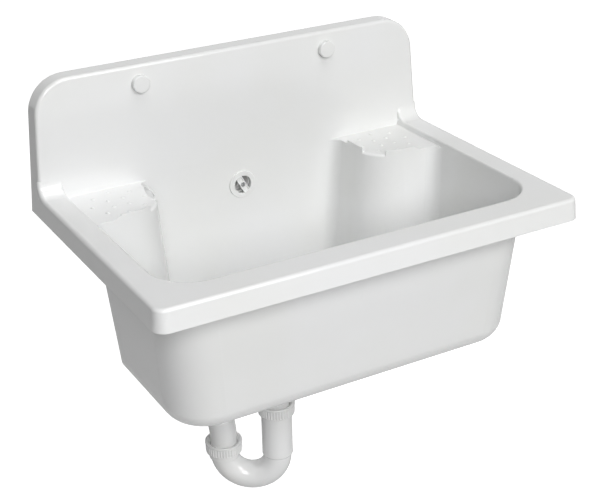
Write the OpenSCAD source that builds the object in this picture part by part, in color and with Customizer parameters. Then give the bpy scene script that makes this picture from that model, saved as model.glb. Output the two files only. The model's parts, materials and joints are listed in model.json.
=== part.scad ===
// Wall-hung mop service sink: a one-piece moulded basin with a splashback and two soap
// shelves, its wall fixings, overflow, waste and a tube trap whose outlet turns to the wall.
// Frame: +X to the right seen from the front, +Y towards the wall, +Z up. The origin lies on
// the wall plane, on the centre line, level with the top of the rim.

/* [Rim] */
// Overall width of the sink
sink_w = 585; // [540:5:660]
// Depth from the wall to the front of the rim
sink_d = 400; // [370:5:440]
// Thickness of the moulded shell
wall = 4; // [3:0.5:5]
// Height of the apron round the rim
apron_h = 29; // [24:1:40]
// How far the foot of the apron stands out past its top
apron_flare = 2; // [0:0.5:3]
// Plan radius of the rim's front corners
rim_corner_r = 15; // [10:1:24]
// Radius of the rim's outer edge
rim_edge_r = 5; // [3:0.5:6]
// Width of the rim beside the bowl
side_rim_w = 33; // [28:1:42]
// Width of the rim in front of the bowl
front_rim_w = 42.5; // [34:0.5:52]
// Radius of the rim's edge round the opening
opening_edge_r = 3; // [1:0.5:3.5]

/* [Splashback] */
// Height of the splashback above the rim
splash_h = 151; // [130:1:190]
// Distance from the wall to the splashback's face at rim level
splash_foot_depth = 30.5; // [29:0.5:34]
// Distance from the wall to the splashback's face at its top
splash_top_depth = 26; // [25:0.5:29]
// How far each side runs in towards the top
splash_inset = 7.5; // [0:0.5:12]
// Radius of the splashback's top corners
splash_corner_r = 49; // [30:1:60]
// Radius of the cove between the rim and the splashback
splash_foot_r = 20; // [12:1:26]
// Thickness of the ribs behind the splashback
rib_t = 3; // [2:0.5:4]

/* [Bowl] */
// Height of the bowl under the rim's top, outside
bowl_h = 217; // [190:1:250]
// Plan radius of the bowl's front corners, outside
bowl_corner_r = 58; // [44:1:70]
// Radius between the bowl's walls and its bottom, outside
bowl_bottom_r = 31; // [20:1:38]
// Draft of the moulded walls in degrees
draft = 4.7; // [3:0.1:6]
// Radius of the sump round the waste
sump_r = 54; // [48:1:60]
// Depth of the sump
sump_h = 5; // [3:0.5:8]

/* [Soap shelves] */
// Distance of each shelf's rounded corner from the centre line
shelf_x = 203.5; // [198:0.5:208]
// Distance of each shelf's rounded corner from the wall
shelf_y = 83.5; // [78:0.5:92]
// Radius of the shelf's rounded corner
shelf_r = 48; // [42:0.5:52]
// Depth of the shelf below the rim
shelf_drop = 8.5; // [7:0.5:12]
// Height of the lips round the shelf
lip_h = 5.5; // [3:0.5:6.5]
// Width of a lip's ends at their foot
lip_w = 3; // [2.6:0.2:5]
// Width of a lip's ends at their top
lip_top_w = 2; // [1:0.2:2]
// Width of a lip at the foot of its swelling
lip_swell_w = 7; // [5.5:0.5:9]
// Plan radius of the foot of a lip's swelling
lip_swell_r = 41; // [34:1:60]
// Fall of the drain notch's floor to where it rounds over
notch_fall = 0.8; // [0.4:0.1:1.5]
// Length over which the drain notch's floor falls
notch_run = 4; // [3:0.5:6]
// Radius that the drain notch's outer edge rounds over at
notch_round_r = 4.5; // [2:0.5:6]
// Where the drain notch starts, in degrees round the shelf's corner
notch_from = 15; // [8:1:25]
// Where the drain notch ends, in degrees round the shelf's corner
notch_to = 58; // [45:1:70]
// Straight length of the lip beside the bowl
side_lip_run = 24; // [15:1:30]
// Straight length of the lip in front
front_lip_run = 17; // [10:1:24]
// How far the studs' centre lies behind the centre of the shelf's corner
stud_back = 3; // [0:0.5:4]
// Radius of the ring of eight studs
stud_ring_r = 36; // [30:0.5:36]
// Radius of the ring of four studs
stud_inner_r = 14.8; // [10:0.2:20]
// Radius of a stud
stud_r = 3.1; // [2:0.1:4]
// Height of a stud
stud_h = 1.4; // [0.8:0.1:2]
// Radius of the cove between a shelf's pillar and the back wall
back_cove_r = 15; // [8:1:18]
// Radius of the cove between a shelf's pillar and the side wall
side_cove_r = 16; // [8:1:20]

/* [Wall fixings] */
// Distance of each wall screw from the centre line
screw_x = 140; // [110:1:170]
// Height of the wall screws above the rim
screw_z = 126; // [110:1:128]
// Radius of the screw's thread
screw_r = 4; // [3:0.5:4]
// Width across the flats of the screw's head
screw_af = 13; // [10:1:13]
// Height of the screw's head
screw_head_h = 5; // [4:0.5:5]
// Length of the screw that stands out behind the sink
screw_reach = 55; // [40:5:70]
// Radius of the boss behind each screw
screw_boss_r = 11; // [8:0.5:12]
// Outside radius of a cover cap
cap_r = 11.7; // [11:0.1:12.5]
// Thickness of a cover cap
cap_t = 1.3; // [1:0.1:1.4]
// Thickness of the seat that a cover cap clips on
cap_seat_t = 1.6; // [1:0.2:2.4]

/* [Overflow] */
// Depth of the overflow below the rim
overflow_drop = 45.5; // [40:0.5:60]
// Outside radius of the overflow ring
ring_r = 20; // [18:0.5:22]
// Radius of the overflow ring's opening
ring_hole_r = 12.8; // [11:0.2:14]
// Thickness of the overflow ring
ring_t = 2.2; // [1.5:0.1:3]
// Width of the bar across the ring
bar_w = 9.4; // [7.6:0.2:11]
// Slope of the bar in degrees
bar_angle = 61; // [0:1:90]
// Outside radius of the overflow pipe
pipe_r = 11; // [10:0.5:11]
// Wall of the overflow pipe
pipe_t = 2; // [1.5:0.1:2.2]
// Radius of the overflow pipe's bend, on its centre line
pipe_bend_r = 28; // [24:1:30]

/* [Waste] */
// Distance of the waste from the wall
waste_y = 111.3; // [108:0.1:150]
// Radius of the hole in the sump
waste_hole_r = 25; // [24:0.5:27]
// Radius of the strainer's flange
strainer_r = 37; // [34:0.5:38]
// Thickness of the strainer's metal
strainer_t = 1.4; // [1:0.1:2]
// Depth of the strainer's dish below its flange
strainer_dish_h = 7; // [5:0.5:9]
// Thickness of the seal under the strainer
strainer_seal_t = 1; // [0.5:0.1:1.5]
// Thickness of the seal under the sump
waste_seal_t = 3; // [2:0.5:4]
// Outside radius of the waste's cup
cup_r = 30; // [29:0.5:32]
// Height of the waste's cup
cup_h = 25; // [24:1:32]
// Length of the threaded spigot under the cup
spigot_h = 21; // [18:1:30]

/* [Trap] */
// Outside radius of the waste tubes
tube_r = 20; // [19:0.5:20]
// Wall of the waste tubes
tube_t = 1.8; // [1.5:0.1:2.4]
// Outside radius of the threads under the union nuts
thread_r = 23.9; // [23.9:0.1:25]
// Outside radius of the trap's inlet leg
leg_r = 22.6; // [22.4:0.1:23.6]
// Outside radius of the trap's bend
bend_r = 20.7; // [20.2:0.1:21.6]
// Radius of the trap's bend, on its centre line
trap_bend_r = 40; // [36:0.5:46]
// Direction of the trap's outlet leg seen from its inlet leg, in degrees from +X
trap_turn = 145.6; // [130:0.2:160]
// Depth of the trap's bend centre below the rim
trap_z = 447; // [430:0.5:480]
// Height of the inlet nut's mouth above the bend's centre
inlet_rise = 88.2; // [80:0.2:92]
// Height of the outlet nut's mouth above the bend's centre
outlet_rise = 19.8; // [19:0.2:26]
// Height of the foot of the inlet leg above the bend's centre
leg_foot_h = 1.5; // [0.5:0.5:2]
// How far the collar under the outlet nut reaches below the bend's centre
collar_drop = 7.3; // [5:0.1:9]
// Outside radius of the collar under the outlet nut
collar_r = 21.3; // [21.2:0.1:22.4]
// Radius of the outlet bend, on its centre line
outlet_bend_r = 41; // [36:0.5:43]
// Height of the outlet's centre line above the bend's centre
outlet_lift = 68; // [66:0.5:74]
// Length of the outlet behind the wall plane
outlet_reach = 38; // [25:1:60]
// Radius of the wall rosette
rosette_r = 37; // [32:0.5:42]
// Depth of the wall rosette
rosette_h = 11; // [8:0.5:12]

/* [Union nuts] */
// Height of a trap's union nut
nut_h = 17.6; // [16:0.2:20]
// Height of the waste's union nut
waste_nut_h = 26; // [24:0.5:30]
// Outside radius of a nut's ring
nut_r = 27.6; // [27.2:0.1:28.5]
// Height of a nut's ring
nut_ring_h = 4.6; // [3:0.2:6]
// Outside radius of a nut's ribs
nut_rib_r = 27.2; // [26.6:0.1:27.2]
// Angle from one rib to the next, in degrees
nut_rib_pitch = 9; // [8:0.5:12]
// Width of a rib on a nut
nut_rib_w = 2; // [1:0.1:2.4]

/* [Hidden] */

eps = 0.01;
over = 1;          // how far a cut runs past what it cuts
fit_gap = 0.05;    // between a tube and what turns on it
clear_gap = 0.3;   // between pieces that pass or seat without fitting
full_turn = 360;
round_fn = 72;
fine_fn = 36;
blend_fn = 48;

half_w = sink_w / 2;
slope = tan(draft);
lean = (splash_foot_depth - splash_top_depth) / splash_h;
// Distance along Y of the splashback's and the back wall's face at a height
function face_y(z) = lean * z - splash_foot_depth;
proud = 0.02;      // how far a round stands out of the flat that it runs into, so that they cross
// Half the width of the bowl's inner walls at the rim
bowl_half = half_w - side_rim_w;
bowl_front = sink_d - front_rim_w;
floor_z = wall - bowl_h;
sump_z = floor_z - sump_h;

/* Shared forms */

// A ring with a torus's round rim: what is left when a disc's edge is fully rounded
module round_disc(r, edge) {
  rotate_extrude($fn = blend_fn) intersection() {
    translate([r - edge, 0]) circle(r = edge, $fn = fine_fn);
    translate([0, -edge]) square([r, 2 * edge]);
  }
}

// A tube standing on z = 0
module tube(r_out, r_in, h) {
  difference() {
    cylinder(r = r_out, h = h, $fn = round_fn);
    translate([0, 0, -over]) cylinder(r = r_in, h = h + 2 * over, $fn = round_fn);
  }
}

// A bent tube: a sweep of the ring r_out to r_in through an angle, in the XZ plane, from -X
module tube_bend(bend_r, r_out, r_in, angle) {
  rotate_extrude(angle = angle, $fn = round_fn) translate([bend_r, 0])
    difference() {
      circle(r = r_out, $fn = round_fn);
      if (r_in > 0) circle(r = r_in, $fn = round_fn);
    }
}

// Children turned so that their +Z points out of the wall towards the front
module facing_front(x, y, z) {
  translate([x, y, z]) rotate([90, 0, 0]) children();
}

module both_sides() {
  children();
  mirror([1, 0, 0]) children();
}

/* Basin */

// Section of the rim from the corner's axis outwards, with its apron
module rim_section() {
  r = rim_corner_r;
  e = rim_edge_r;
  difference() {
    union() {
      polygon([[0, 0], [r - e, 0], [r - e, -e], [r, -e], [r + apron_flare, -apron_h], [0, -apron_h]]);
      translate([r - e, -e]) circle(r = e, $fn = fine_fn);
    }
    polygon([[-over, -wall], [r - wall, -wall], [r + apron_flare - wall, -apron_h],
             [r + apron_flare - wall, -apron_h - over], [-over, -apron_h - over]]);
  }
}

// The rim: its section along both sides and the front, turned round the corners
module rim() {
  x = half_w - rim_corner_r;
  y = sink_d - rim_corner_r;
  translate([-x, -y, 0]) mirror([0, 1, 0]) rotate([90, 0, 90]) linear_extrude(2 * x) rim_section();
  both_sides() {
    translate([x, 0, 0]) rotate([90, 0, 0]) linear_extrude(y) rim_section();
    translate([x, -y, 0]) rotate([0, 0, -90]) rotate_extrude(angle = 90, $fn = round_fn) rim_section();
  }
  translate([-x, -y, -wall]) cube([2 * x, y - splash_foot_depth + wall, wall]);
}

// Outer form of the splashback, down to just under the rim's rounded edge
module splash_form() {
  r = splash_corner_r;
  e = rim_edge_r;
  x = half_w - splash_inset - r;
  z = splash_h - r;
  foot = e + over;
  hull() for (s = [-1, 1]) {
    translate([s * x, face_y(z) + e, z]) rotate([90 - atan(lean), 0, 0]) round_disc(r, e);
    translate([s * x, 0, z]) rotate([90, 0, 0]) cylinder(r = r, h = over, $fn = blend_fn);
    translate([s * (half_w - e), face_y(-foot) + e, -foot]) sphere(r = e, $fn = fine_fn);
    translate([s * half_w - (s > 0 ? over : 0), -over, -foot]) cube(over);
  }
}

// Hollow behind the splashback, open to the wall and downwards
module splash_hollow() {
  r = splash_corner_r - wall;
  x = half_w - splash_inset - splash_corner_r;
  z = splash_h - splash_corner_r;
  foot = apron_h + over;
  hull() for (s = [-1, 1]) {
    translate([s * x, face_y(z) + wall + over / 2, z]) rotate([90 - atan(lean), 0, 0])
      cylinder(r = r, h = over, center = true, $fn = blend_fn);
    translate([s * x, over, z]) rotate([90, 0, 0]) cylinder(r = r, h = over, $fn = blend_fn);
    translate([s * (half_w - wall) - (s > 0 ? over : 0), face_y(-foot) + wall, -foot])
      cube([over, over - face_y(-foot) - wall, over]);
  }
}

// Place of the axis of the cove that runs into the rim and into the splashback's leaning face
foot_y = face_y(splash_foot_r) - splash_foot_r * sqrt(1 + lean * lean) + proud;

// Cove between the rim beside the opening and the splashback, its outer end rounded
module splash_foot() {
  r = splash_foot_r;
  e = rim_edge_r;
  reach = 1.5 * r;
  intersection() {
    translate([0, foot_y, r]) rotate([0, 90, 0]) rotate_extrude(angle = 90, $fn = round_fn)
      union() {
        translate([r, bowl_half]) square([reach - r, side_rim_w - e]);
        translate([r + e, bowl_half]) square([reach - r - e, side_rim_w]);
        translate([r + e, half_w - e]) circle(r = e, $fn = fine_fn);
      }
    translate([bowl_half, foot_y - over, -wall]) cube([side_rim_w, r + over + wall, r + wall]);
  }
}

// The bowl's drafted form, drawn in from its outside by an inset, up to a height over the rim
module bowl_form(inset, top) {
  r = bowl_corner_r - inset;
  b = bowl_bottom_r - inset;
  x = bowl_half + wall - inset;
  y = bowl_front + wall - inset;
  z = inset - bowl_h + b;
  back = wall - inset;
  hull() for (s = [-1, 1]) {
    translate([s * (x - r), r - y, 0]) cylinder(r = r, h = top, $fn = blend_fn);
    translate([s * (x + slope * z - r), r - y - slope * z, z]) round_disc(r, b);
    translate([s * x - (s > 0 ? over : 0), face_y(0) + back - over, 0]) cube([over, over, top]);
    translate([s * (x + slope * z - b), face_y(z) + back - b, z]) round_disc(b, b);
  }
}

// Rounding of the rim's edge round the opening: along the front, round the corners, along the
// sides and up the coves
module opening_edge() {
  e = opening_edge_r;
  r = bowl_corner_r - wall;
  x = bowl_half - r;
  y = bowl_front - r;
  both_sides() {
    translate([0, foot_y, splash_foot_r]) rotate([0, 90, 0]) rotate_extrude(angle = 90, $fn = round_fn)
      translate([0, bowl_half]) mirror([0, 1]) edge_cut(splash_foot_r, e);
    translate([x, foot_y, 0]) rotate([90, 0, 0]) linear_extrude(y + foot_y) edge_cut(r, e);
    translate([x, -y, 0]) rotate([0, 0, -90]) rotate_extrude(angle = 90, $fn = round_fn) edge_cut(r, e);
  }
  translate([-x, -y, 0]) mirror([0, 1, 0]) rotate([90, 0, 90]) linear_extrude(2 * x) edge_cut(r, e);
}

// Section of what a rounding takes off an edge at a radius
module edge_cut(r, e) {
  difference() {
    translate([r - over, -e]) square([e + over, e + over]);
    translate([r + e, -e]) circle(r = e, $fn = fine_fn);
  }
}

// Radius of the shelf's corner, drawn in by an inset, at a height
function pillar_r(inset, z) = shelf_r - inset - slope * (shelf_drop + z);

// A round corner and its two flanks on the right shelf's axis, from one radius up to another
module corner_form(low_r, low_z, high_r, high_z, out_x, back_y) {
  translate([shelf_x, -shelf_y, low_z])
    cylinder(r1 = low_r + proud, r2 = high_r + proud, h = high_z - low_z, $fn = round_fn);
  translate([0, back_y, 0]) rotate([90, 0, 0]) linear_extrude(back_y + shelf_y)
    polygon([[shelf_x - high_r, high_z], [out_x, high_z], [out_x, low_z], [shelf_x - low_r, low_z]]);
  translate([shelf_x, 0, 0]) rotate([90, 0, 90]) linear_extrude(out_x - shelf_x)
    polygon([[-shelf_y - high_r, high_z], [back_y, high_z], [back_y, low_z], [-shelf_y - low_r, low_z]]);
}

// The right shelf's drafted pillar, drawn in by an inset, up to a height
module pillar(inset, top, out_x, back_y) {
  foot = -bowl_h - over;
  corner_form(pillar_r(inset, foot), foot, pillar_r(inset, top), top, out_x, back_y);
}

// A cove that fills the corner at the origin towards -X and -Y, downwards
module cove(r, h) {
  difference() {
    translate([-r, -r, -h]) cube([r + wall / 2, r + wall / 2, h + over]);
    translate([-r, -r, -h - over]) cylinder(r = r, h = h + 3 * over, $fn = round_fn);
  }
}

// Children on the edge where the right pillar meets the back wall, turned with the walls' draft
module at_back_edge() {
  translate([shelf_x - shelf_r, face_y(-shelf_drop), -shelf_drop]) rotate([-atan(lean), draft, 0]) children();
}

// Children on the edge where the right pillar meets the bowl's side
module at_side_edge() {
  translate([bowl_half - slope * shelf_drop, -shelf_y - shelf_r, -shelf_drop])
    rotate([-draft, draft, 0]) children();
}

// What of the children lies on the right side and under a height
module under(top) {
  intersection() {
    children();
    translate([0, -sink_d, -bowl_h - over]) cube([half_w, sink_d + over, bowl_h + over + top]);
  }
}

// The coves between the right pillar and the bowl's walls
module coves() {
  under(-shelf_drop) {
    at_back_edge() cove(back_cove_r, bowl_h);
    at_side_edge() cove(side_cove_r, bowl_h);
  }
}

// What is taken off behind a cove, so that the wall keeps its thickness round the corner
module cove_back(r, h) {
  out = 2 * wall;
  shift = 0.15 - r;
  difference() {
    translate([-r, -r, -h]) cube([r + out, r + out, h + over]);
    translate([shift, shift, -h - over]) cylinder(r = r + wall, h = h + 3 * over, $fn = round_fn);
  }
}

// The space behind the right shelf, open to the wall and to the side
module shelf_hollow() {
  top = -shelf_drop - wall;
  pillar(wall, top, bowl_half + 2 * wall, over);
  under(top) {
    at_back_edge() cove_back(back_cove_r, bowl_h);
    at_side_edge() cove_back(side_cove_r, bowl_h);
  }
}

// What is cut out of the right pillar above its shelf: the sloping inside of the lips and their ends
module above_shelf() {
  foot_r = shelf_r - lip_w;
  rise = pillar_r(lip_top_w, lip_h - shelf_drop) - foot_r;
  corner_form(foot_r, -shelf_drop, foot_r + 2 * rise, 2 * lip_h - shelf_drop, half_w, over);
  translate([0, side_lip_run - shelf_y, -shelf_drop]) cube([half_w, sink_d, 2 * lip_h]);
  translate([shelf_x + front_lip_run, -sink_d, -shelf_drop]) cube([half_w, sink_d, 2 * lip_h]);
}

// Section of what the drain notch takes off: above a floor that falls and rounds over into the pillar
module notch_section() {
  round_z = -notch_fall - notch_round_r;
  round_x = pillar_r(0, round_z - shelf_drop) + 0.15 - notch_round_r;
  start_x = round_x - notch_run;
  end_x = round_x + notch_round_r + over;
  fall = notch_fall / notch_run;
  difference() {
    polygon([[start_x - over, fall * over], [start_x - over, 2 * lip_h], [end_x, 2 * lip_h], [end_x, round_z],
             [round_x, round_z], [round_x + over / 2, -notch_fall - fall * over / 2]]);
    translate([round_x, round_z]) circle(r = notch_round_r, $fn = blend_fn);
  }
}

module notch_cut() {
  translate([shelf_x, -shelf_y, -shelf_drop]) rotate([0, 0, 180 + notch_from])
    rotate_extrude(angle = notch_to - notch_from, $fn = round_fn) notch_section();
}

// The swelling of a lip towards the shelf, on an axis outside the pillar at an angle round the corner
module lip_swelling(angle, along) {
  top_r = lip_swell_r - lip_swell_w + lip_top_w - 0.3;
  translate([shelf_x, -shelf_y, -shelf_drop - eps]) rotate([0, 0, angle])
    translate([shelf_r - lip_swell_w + lip_swell_r, along, 0])
      cylinder(r1 = lip_swell_r, r2 = top_r, h = lip_h + eps, $fn = round_fn);
}

// A stud: the top of a ball, let into the shelf
module stud() {
  ball = (stud_r * stud_r + stud_h * stud_h) / (2 * stud_h);
  intersection() {
    translate([0, 0, stud_h - ball]) sphere(r = ball, $fn = fine_fn);
    translate([0, 0, -wall / 2]) cylinder(r = ball + over, h = wall, $fn = fine_fn);
  }
}

// The right shelf's studs: a ring of eight and a ring of four
module studs() {
  translate([shelf_x, stud_back - shelf_y, -shelf_drop]) {
    for (i = [0:7]) rotate([0, 0, 45 * i]) translate([stud_ring_r, 0, 0]) stud();
    for (i = [0:3]) rotate([0, 0, 90 * i + 45]) translate([stud_inner_r, 0, 0]) stud();
  }
}

// The right shelf on its pillar, with its lips, studs and drain notch
module shelf() {
  top = lip_h - shelf_drop;
  difference() {
    union() {
      difference() {
        union() {
          pillar(0, top, half_w, 0);
          coves();
        }
        above_shelf();
      }
      intersection() {
        pillar(0, top, half_w, 0);
        union() {
          lip_swelling(180, -0.1 * lip_swell_r);
          lip_swelling(270, 0.1 * lip_swell_r);
        }
      }
    }
    notch_cut();
  }
  studs();
}

// Planes that the cap, the ring and the overflow's pad seat on
screw_seat_y = face_y(screw_z + cap_r);
ring_seat_y = face_y(ring_r - overflow_drop);
pad_r = ring_r + wall;
pad_y = face_y(pad_r - overflow_drop) + wall + 0.5;

// Bosses and ribs behind the splashback, and the pad behind the overflow
module back_supports() {
  top = splash_h - wall / 2;
  for (s = [-1, 1]) {
    facing_front(s * screw_x, 0, screw_z)
      cylinder(r = screw_boss_r, h = -face_y(screw_z) - wall / 2, $fn = round_fn);
    translate([s * screw_x - rib_t / 2, 0, 0]) rotate([90, 0, 90]) linear_extrude(rib_t)
      polygon([[0, 0], [face_y(0) + wall / 2, 0], [face_y(top) + wall / 2, top], [0, top]]);
  }
  facing_front(0, pad_y, -overflow_drop)
    cylinder(r = pad_r, h = pad_y - face_y(-overflow_drop) - wall / 2, $fn = round_fn);
}

module sump(r, h) {
  translate([0, -waste_y, -h]) cylinder(r1 = r - sump_r + strainer_r + 2, r2 = r, h = h, $fn = round_fn);
}

module basin() {
  color("white") difference() {
    union() {
      difference() {
        union() {
          splash_form();
          difference() {
            union() {
              rim();
              both_sides() splash_foot();
              bowl_form(0, eps);
            }
            opening_edge();
          }
          translate([0, 0, floor_z]) sump(sump_r + wall, sump_h + wall);
        }
        splash_hollow();
        bowl_form(wall, over);
        translate([0, 0, floor_z + eps]) sump(sump_r, sump_h + eps);
      }
      intersection() {
        bowl_form(0, eps);
        both_sides() shelf();
      }
      back_supports();
    }
    both_sides() shelf_hollow();
    for (s = [-1, 1]) {
      facing_front(s * screw_x, over, screw_z)
        cylinder(r = screw_r + 0.5, h = splash_foot_depth + 2 * over, $fn = round_fn);
      facing_front(s * screw_x, screw_seat_y, screw_z)
        cylinder(r = cap_r + clear_gap, h = wall, $fn = round_fn);
    }
    facing_front(0, pad_y + over, -overflow_drop)
      cylinder(r = ring_hole_r + 1, h = 4 * wall, $fn = round_fn);
    facing_front(0, ring_seat_y, -overflow_drop) cylinder(r = ring_r + clear_gap, h = wall, $fn = round_fn);
    translate([0, -waste_y, sump_z - wall - over])
      cylinder(r = waste_hole_r, h = wall + 2 * over, $fn = round_fn);
  }
}

/* Wall fixings */

cap_front_y = face_y(screw_z) - 7.8;
screw_neck = 0.2;      // how much thinner the neck is than the thread

// A cover cap: a cup with a rounded edge, open towards the wall
module cap(s) {
  h = screw_seat_y - cap_front_y;
  e = 1.2;
  color("white") facing_front(s * screw_x, screw_seat_y, screw_z) rotate_extrude($fn = round_fn)
    difference() {
      union() {
        square([cap_r - e, h]);
        square([cap_r, h - e]);
        translate([cap_r - e, h - e]) circle(r = e, $fn = fine_fn);
      }
      translate([-over, -over]) square([cap_r - cap_t + over, h - cap_t + over]);
    }
}

module cap_seats() {
  color("white") for (s = [-1, 1])
    facing_front(s * screw_x, screw_seat_y, screw_z) tube(cap_r - cap_t - fit_gap, screw_r + 0.3, cap_seat_t);
}

// Two screws: a thread behind the sink, a thinner neck inside it and a hexagon head
module wall_screws() {
  head_y = screw_seat_y - cap_seat_t;
  color("silver") for (s = [-1, 1]) {
    facing_front(s * screw_x, head_y, screw_z) cylinder(d = screw_af / cos(30), h = screw_head_h, $fn = 6);
    facing_front(s * screw_x, screw_reach, screw_z) cylinder(r = screw_r, h = screw_reach, $fn = round_fn);
    facing_front(s * screw_x, 0, screw_z) cylinder(r = screw_r - screw_neck, h = -head_y, $fn = round_fn);
  }
}

/* Overflow */

bar_t = ring_t + 0.8;
hub_r = bar_w / 2 - 0.2;
hub_bore_r = 2.05;
elbow_flange_t = 2.5;
overflow_seal_t = 1.5;
elbow_y = pad_y + overflow_seal_t;
chamber_r = 14;
pipe_y = -1 - pipe_r - 2;
spigot_r = pipe_r - pipe_t - fit_gap;
spigot_bore_r = spigot_r - 1.6;
spigot_run = 16;
chamber_back_y = -2.5;

// The ring in front of the overflow, with its channelled bar and countersunk hub
module overflow_ring() {
  e = 0.8;
  rail = 1.4;
  channel_t = 1.4;
  channel_l = 7.2;
  channel_x = ring_hole_r - channel_l - 1.2;
  color("white") facing_front(0, ring_seat_y, -overflow_drop) difference() {
    union() {
      rotate_extrude($fn = round_fn) {
        translate([ring_hole_r, 0]) square([ring_r - e - ring_hole_r, ring_t]);
        translate([ring_hole_r, 0]) square([ring_r - ring_hole_r, ring_t - e]);
        translate([ring_r - e, ring_t - e]) circle(r = e, $fn = fine_fn);
      }
      rotate([0, 0, 90 + (90 - bar_angle)]) translate([-ring_hole_r - 1, -bar_w / 2, 0])
        cube([2 * ring_hole_r + 2, bar_w, bar_t]);
    }
    rotate([0, 0, 90 + (90 - bar_angle)]) {
      both_sides() translate([channel_x, rail - bar_w / 2, bar_t - channel_t])
        cube([channel_l, bar_w - 2 * rail, channel_t + over]);
    }
    translate([0, 0, -over]) cylinder(r = 2.2, h = bar_t + 2 * over, $fn = fine_fn);
    translate([0, 0, bar_t - 1.6]) cylinder(r = 3.3, h = 2, $fn = fine_fn);
  }
}

module overflow_screw() {
  reach = 14;
  color("silver") facing_front(0, ring_seat_y, -overflow_drop) {
    translate([0, 0, bar_t - 1.6]) difference() {
      cylinder(r = 3.15, h = 1.5, $fn = fine_fn);
      translate([-4, -0.4, 0.7]) cube([8, 0.8, 2]);
    }
    translate([0, 0, -reach]) cylinder(r = 2, h = reach + bar_t - 1.5, $fn = fine_fn);
  }
}

module overflow_seal() {
  color("dimgray") facing_front(0, elbow_y, -overflow_drop)
    tube(pad_r - 1, ring_hole_r + 1.2, overflow_seal_t);
}

// The elbow behind the overflow: a flanged chamber, the hub for its screw and a spigot down
module overflow_elbow() {
  back = chamber_back_y;
  foot = pipe_top_z - spigot_run;
  color("white") difference() {
    union() {
      facing_front(0, elbow_y + elbow_flange_t, -overflow_drop)
        cylinder(r = pad_r - 1, h = elbow_flange_t, $fn = round_fn);
      facing_front(0, back, -overflow_drop) cylinder(r = chamber_r, h = back - elbow_y, $fn = round_fn);
      translate([0, pipe_y, foot]) cylinder(r = spigot_r, h = -overflow_drop - foot, $fn = round_fn);
    }
    facing_front(0, back - 1.8, -overflow_drop)
      cylinder(r = chamber_r - 1.8, h = back - elbow_y + over, $fn = round_fn);
    translate([0, pipe_y, foot - over])
      cylinder(r = spigot_bore_r, h = -overflow_drop - foot, $fn = round_fn);
  }
  color("white") difference() {
    facing_front(0, back - 1, -overflow_drop) cylinder(r = hub_r, h = back - elbow_y - 1, $fn = fine_fn);
    facing_front(0, back - 3, -overflow_drop) cylinder(r = hub_bore_r, h = back - elbow_y, $fn = fine_fn);
  }
}

branch_drop = 17;
branch_z = sump_z - wall - waste_seal_t - branch_drop;
pipe_top_z = -overflow_drop - pad_r;
branch_len = 20;
pipe_end_y = -waste_y + cup_r + 3;

// The overflow pipe: down behind the bowl, round a bend and forward to the waste
module overflow_pipe() {
  r = pipe_bend_r;
  bore = pipe_r - pipe_t;
  color("whitesmoke") {
    translate([0, pipe_y, branch_z + r]) tube(pipe_r, bore, pipe_top_z - branch_z - r);
    translate([0, pipe_y - r, branch_z + r]) rotate([0, 90, 0]) tube_bend(r, pipe_r, bore, 90);
    translate([0, pipe_y - r, branch_z]) rotate([90, 0, 0]) tube(pipe_r, bore, pipe_y - r - pipe_end_y);
  }
}

// The two clips that hold the pipe on its spigots
module pipe_clips() {
  w = 8;
  t = 0.9;
  color("silver") {
    translate([0, pipe_y, pipe_top_z - w - 3]) tube(pipe_r + t, pipe_r + eps, w);
    translate([0, pipe_end_y + w + 3, branch_z]) rotate([90, 0, 0]) tube(pipe_r + t, pipe_r + eps, w);
  }
}

/* Waste */

flange_z = sump_z + strainer_seal_t;
waste_top_z = sump_z - wall - waste_seal_t;
dish_r = waste_hole_r - 3;
dish_floor_z = flange_z - strainer_dish_h;
waste_flange_t = 3;
cup_wall = 3;
hub_h = 18;
waste_screw_r = 3;

// The strainer: a flange with a rounded edge, a dish and a floor with a ring of slots
module strainer() {
  t = strainer_t;
  slots = 12;
  slot_w = 3;
  color("silver") translate([0, -waste_y, 0]) {
    difference() {
      union() {
        translate([0, 0, flange_z]) cylinder(r1 = strainer_r, r2 = strainer_r - t, h = t, $fn = round_fn);
        translate([0, 0, dish_floor_z]) cylinder(r = dish_r, h = strainer_dish_h + t / 2, $fn = round_fn);
      }
      translate([0, 0, dish_floor_z + t]) cylinder(r = dish_r - t, h = strainer_dish_h + t, $fn = round_fn);
      translate([0, 0, dish_floor_z - over])
        cylinder(r = waste_screw_r + clear_gap, h = 2 * t + over, $fn = fine_fn);
      for (i = [0:slots - 1]) rotate([0, 0, i * full_turn / slots])
        translate([dish_r / 2, -slot_w / 2, dish_floor_z - over])
          cube([dish_r / 2 - 2 * t, slot_w, t + 2 * over]);
    }
  }
}

module strainer_screw() {
  head_h = 2.6;
  color("silver") translate([0, -waste_y, dish_floor_z + strainer_t]) {
    difference() {
      cylinder(r1 = 6, r2 = 5, h = head_h, $fn = round_fn);
      translate([-7, -0.7, head_h - 1.2]) cube([14, 1.4, 2]);
    }
    translate([0, 0, -strainer_t - hub_h])
      cylinder(r = waste_screw_r, h = strainer_t + hub_h + eps, $fn = fine_fn);
  }
}

module strainer_seal() {
  color("dimgray") translate([0, -waste_y, sump_z])
    tube(strainer_r - 1.5, waste_hole_r + 0.5, strainer_seal_t);
}

module waste_seal() {
  color("dimgray") translate([0, -waste_y, waste_top_z]) tube(cup_r + 4.5, waste_hole_r + 1.5, waste_seal_t);
}

cup_foot_z = waste_top_z - cup_h;
cone_h = 12;
spigot_top_z = cup_foot_z - cone_h;
spigot_end_z = spigot_top_z - spigot_h;
tube_bore_r = tube_r - tube_t;

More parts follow.
